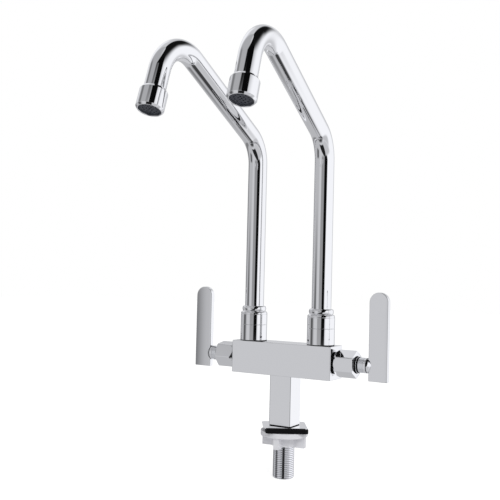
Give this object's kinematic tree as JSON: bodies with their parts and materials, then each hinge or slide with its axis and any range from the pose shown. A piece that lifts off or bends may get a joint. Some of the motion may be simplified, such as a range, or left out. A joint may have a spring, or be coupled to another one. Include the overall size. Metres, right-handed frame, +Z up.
{
  "type": "pillar tap",
  "caption": "Deck-mounted chrome pillar tap: a T-shaped column carries twin swivel spouts with aerators and twin quarter-turn levers on one threaded inlet.",
  "frame": {"origin": "centre of the column's underside, where it stands on the base plate", "axes": "+Z up along the column, +X along the bar towards the right-hand lever, -Y towards the user and the spout outlets at rest"},
  "size_m": [0.2136, 0.2185, 0.4022],
  "materials": {
    "body_chrome": "mirror-polished chrome plate on brass",
    "spout_chrome": "mirror-polished chrome plate on tube",
    "lever_chrome": "mirror-polished chrome plate",
    "plate_chrome": "polished chrome plate",
    "shank_chrome": "chrome plate over a cut thread",
    "sleeve_chrome": "satin chrome",
    "screw_steel": "dark turned steel",
    "brass": "turned brass",
    "washer_rubber": "matt black rubber",
    "seal_rubber": "matt black rubber",
    "nut_plastic": "white moulded plastic",
    "slip_plastic": "white low-friction plastic",
    "disc_ceramic": "lapped white ceramic",
    "insert_plastic": "slate-grey moulded plastic"
  },
  "bodies": {
    "tap": {"tap_body": "body_chrome", "threaded_shank": "shank_chrome", "base_plate": "plate_chrome", "rubber_washer": "washer_rubber", "back_nut": "nut_plastic", "left_bonnet": "body_chrome", "left_bonnet_gasket": "seal_rubber", "left_dust_ring": "seal_rubber", "left_seat_seal": "seal_rubber", "left_cartridge_cage": "brass", "left_fixed_disc": "disc_ceramic", "left_spout_socket": "body_chrome", "left_ring_nut": "body_chrome", "right_bonnet": "body_chrome", "right_bonnet_gasket": "seal_rubber", "right_dust_ring": "seal_rubber", "right_seat_seal": "seal_rubber", "right_cartridge_cage": "brass", "right_fixed_disc": "disc_ceramic", "right_spout_socket": "body_chrome", "right_ring_nut": "body_chrome"},
    "left_spout_assembly": {"left_spout_tube": "spout_chrome", "left_spout_foot": "brass", "left_spout_oring": "seal_rubber", "left_slip_ring": "slip_plastic", "left_cover_ring": "spout_chrome", "left_spout_nozzle": "brass", "left_aerator_shell": "spout_chrome", "left_aerator_washer": "seal_rubber", "left_aerator_insert": "insert_plastic", "left_aerator_mesh": "insert_plastic"},
    "left_lever_assembly": {"left_lever": "lever_chrome", "left_lever_sleeve": "sleeve_chrome", "left_lever_screw": "screw_steel", "left_spindle": "brass", "left_spindle_seal": "seal_rubber", "left_moving_disc": "disc_ceramic"},
    "right_spout_assembly": {"right_spout_tube": "spout_chrome", "right_spout_foot": "brass", "right_spout_oring": "seal_rubber", "right_slip_ring": "slip_plastic", "right_cover_ring": "spout_chrome", "right_spout_nozzle": "brass", "right_aerator_shell": "spout_chrome", "right_aerator_washer": "seal_rubber", "right_aerator_insert": "insert_plastic", "right_aerator_mesh": "insert_plastic"},
    "right_lever_assembly": {"right_lever": "lever_chrome", "right_lever_sleeve": "sleeve_chrome", "right_lever_screw": "screw_steel", "right_spindle": "brass", "right_spindle_seal": "seal_rubber", "right_moving_disc": "disc_ceramic"}
  },
  "joints": [
    {"name": "left_spout_swivel", "type": "hinge", "parent": "tap", "child": "left_spout_assembly", "pos_m": [-0.0376, 0, 0.091], "axis": [0, 0, 1], "range_deg": [-180, 7.5]},
    {"name": "right_spout_swivel", "type": "hinge", "parent": "tap", "child": "right_spout_assembly", "pos_m": [0.0376, 0, 0.091], "axis": [0, 0, 1], "range_deg": [-11.9, 175.6]},
    {"name": "left_lever_turn", "type": "hinge", "parent": "tap", "child": "left_lever_assembly", "pos_m": [-0.0545, 0, 0.065], "axis": [1, 0, 0], "range_deg": [0, 90]},
    {"name": "right_lever_turn", "type": "hinge", "parent": "tap", "child": "right_lever_assembly", "pos_m": [0.0545, 0, 0.065], "axis": [1, 0, 0], "range_deg": [0, 90]}
  ]
}
